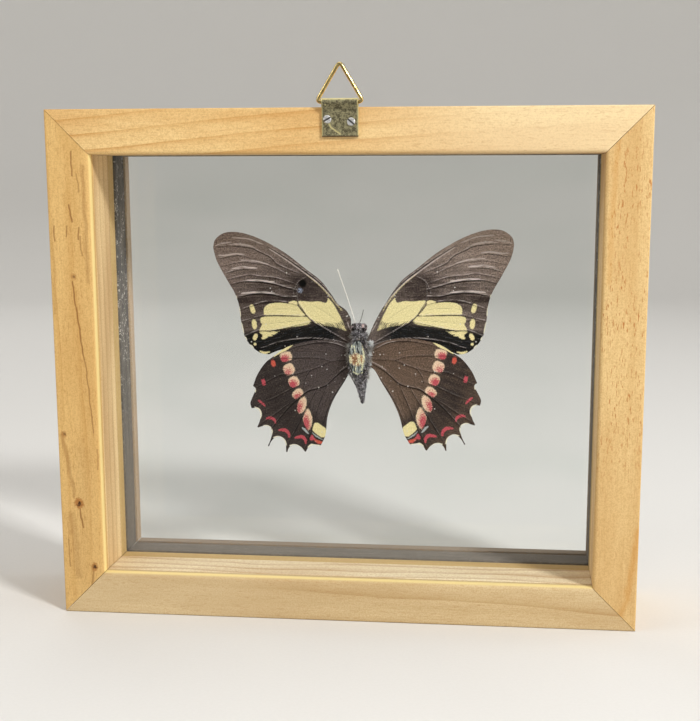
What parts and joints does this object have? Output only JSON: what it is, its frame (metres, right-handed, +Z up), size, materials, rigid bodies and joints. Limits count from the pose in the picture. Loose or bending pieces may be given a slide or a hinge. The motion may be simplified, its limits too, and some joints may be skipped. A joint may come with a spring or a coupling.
{
  "type": "framed butterfly specimen",
  "caption": "Deep wooden frame with a spread swallowtail butterfly held between glass panes, and a wire ring on a folded metal hanger.",
  "frame": {"origin": "middle of the frame's bottom face, halfway between its back and front faces", "axes": "+X to the right and +Z up as seen from the hanger side, which is the -Y face; +Y towards the display side"},
  "size_m": [0.203, 0.0505, 0.1912],
  "materials": {
    "pine": "bare planed pine, pale honey with darker growth lines and small knots",
    "liner": "bare sawn wood, slightly pinker than the rails",
    "stop": "bare smooth wood, pale yellow",
    "spacer": "dark grey, matte, lightly scratched and dusty",
    "glass": "clear float glass with polished faces and ground edges",
    "hanger_plate": "tarnished yellow plating on steel, mottled olive",
    "hanger_ring": "bright yellow plated wire",
    "screw": "bright nickel plate",
    "body": "dry and hairy, dark grey with a mottled cream and orange underside",
    "wing": "fine matte scales, dark brown with cream, pink and red spots",
    "glue": "cured glue, cream and slightly glossy"
  },
  "bodies": {
    "framed_specimen": {"rail_bottom": "pine", "rail_top": "pine", "rail_left": "pine", "rail_right": "pine", "liner_bottom": "liner", "liner_top": "liner", "liner_left": "liner", "liner_right": "liner", "stop_bottom": "stop", "stop_top": "stop", "stop_left": "stop", "stop_right": "stop", "glass_back": "glass", "spacer_bottom": "spacer", "spacer_top": "spacer", "spacer_left": "spacer", "spacer_right": "spacer", "glass_front": "glass", "front_stop_bottom": "stop", "front_stop_top": "stop", "front_stop_left": "stop", "front_stop_right": "stop", "hanger_plate": "hanger_plate", "hanger_screw_left": "screw", "hanger_screw_right": "screw", "body": "body", "antenna_left": "body", "antenna_right": "body", "forewing_left": "wing", "forewing_right": "wing", "hindwing_left": "wing", "hindwing_right": "wing", "glue_spot": "glue"},
    "ring": {"hanger_ring": "hanger_ring"}
  },
  "joints": [
    {"name": "ring_swing", "type": "hinge", "parent": "framed_specimen", "child": "ring", "pos_m": [-0.0003, -0.02535, 0.17855], "axis": [1, 0, 0], "range_deg": [-90, 165]}
  ]
}
